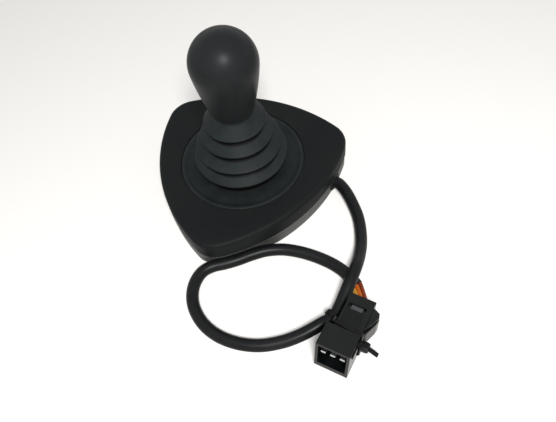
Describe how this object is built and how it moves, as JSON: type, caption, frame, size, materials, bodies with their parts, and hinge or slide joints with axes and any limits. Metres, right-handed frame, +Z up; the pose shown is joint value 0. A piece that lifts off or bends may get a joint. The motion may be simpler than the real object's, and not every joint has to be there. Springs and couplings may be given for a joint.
{
  "type": "industrial joystick",
  "caption": "Two-axis lever joystick: drop-shaped knob on a sprung gimbal lever, rubber bellows, low three-cornered base and a captive cable with a small plug.",
  "frame": {"origin": "centre of the three base fixings, on the underside of the base", "axes": "+Z up along the lever at rest, -Y towards one corner of the base, +X towards the side where the cable leaves"},
  "size_m": [0.1605, 0.1591, 0.1149],
  "materials": {
    "cover_abs": "fine-textured moulded ABS, black",
    "pan_abs": "moulded ABS, black",
    "seal_rubber": "matt",
    "brass": "turned",
    "zinc_steel": "zinc plated",
    "boot_rubber": "moulded, matt",
    "ring_steel": "stamped",
    "housing_nylon": "glass-filled nylon",
    "bronze": "sintered bronze",
    "gimbal_alloy": "machined",
    "bright_steel": "ground",
    "spring_steel": "drawn wire",
    "black_steel": "black oxide",
    "holder_acetal": "turned acetal",
    "magnet_nickel": "nickel plated",
    "sleeve_nylon": "moulded nylon",
    "knob_plastic": "moulded, satin black",
    "board_green": "solder mask",
    "chip_black": "moulded epoxy",
    "header_nylon": "natural nylon",
    "wire_orange": "PVC insulation",
    "cable_pvc": "PVC sheath, black",
    "grommet_rubber": "moulded",
    "shrink_sleeve": "heat-shrink",
    "plug_pbt": "moulded PBT, black",
    "tinned_contact": "tin plated",
    "latch_pbt": "moulded PBT, grey",
    "tie_nylon": "moulded nylon, black"
  },
  "bodies": {
    "base": {"base_pan": "pan_abs", "top_cover": "cover_abs", "base_seal": "seal_rubber", "mounting_inserts": "brass", "cover_screws": "zinc_steel", "rubber_boot": "boot_rubber", "boot_ring": "ring_steel", "boot_ring_screws": "zinc_steel", "gimbal_housing": "housing_nylon", "housing_screws": "zinc_steel", "outer_bushes": "bronze", "centring_spring": "spring_steel", "circuit_board": "board_green", "hall_sensor": "chip_black", "board_screws": "zinc_steel", "board_header": "header_nylon", "core_wires": "wire_orange", "cable_clamp": "ring_steel", "clamp_screws": "zinc_steel", "cable_grommet": "grommet_rubber", "cable": "cable_pvc", "cable_end_sleeve": "shrink_sleeve", "connector_leads": "wire_orange", "connector_housing": "plug_pbt", "connector_contacts": "tinned_contact", "connector_latch": "latch_pbt", "cable_tie": "tie_nylon"},
    "gimbal": {"gimbal_ring": "gimbal_alloy", "outer_pins": "bright_steel", "inner_pin": "bright_steel"},
    "lever": {"lever_hub": "gimbal_alloy", "inner_bushes": "bronze", "lever_shaft": "bright_steel", "hub_roll_pin": "spring_steel", "magnet_holder": "holder_acetal", "magnet": "magnet_nickel", "spring_collar": "black_steel", "collar_clip": "black_steel", "neck_sleeve": "sleeve_nylon", "lock_nut": "zinc_steel", "knob": "knob_plastic", "knob_insert": "brass"}
  },
  "joints": [
    {"name": "tilt_fore_aft", "type": "hinge", "parent": "base", "child": "gimbal", "pos_m": [0, 0, 0.019], "axis": [1, 0, 0], "range_deg": [-18, 18], "stiffness_Nm_per_rad": 1.5, "deforming": ["rubber_boot", "centring_spring"]},
    {"name": "tilt_side", "type": "hinge", "parent": "gimbal", "child": "lever", "pos_m": [0, 0, 0.019], "axis": [0, 1, 0], "range_deg": [-18, 18], "stiffness_Nm_per_rad": 1.5, "deforming": ["rubber_boot", "centring_spring"]}
  ]
}
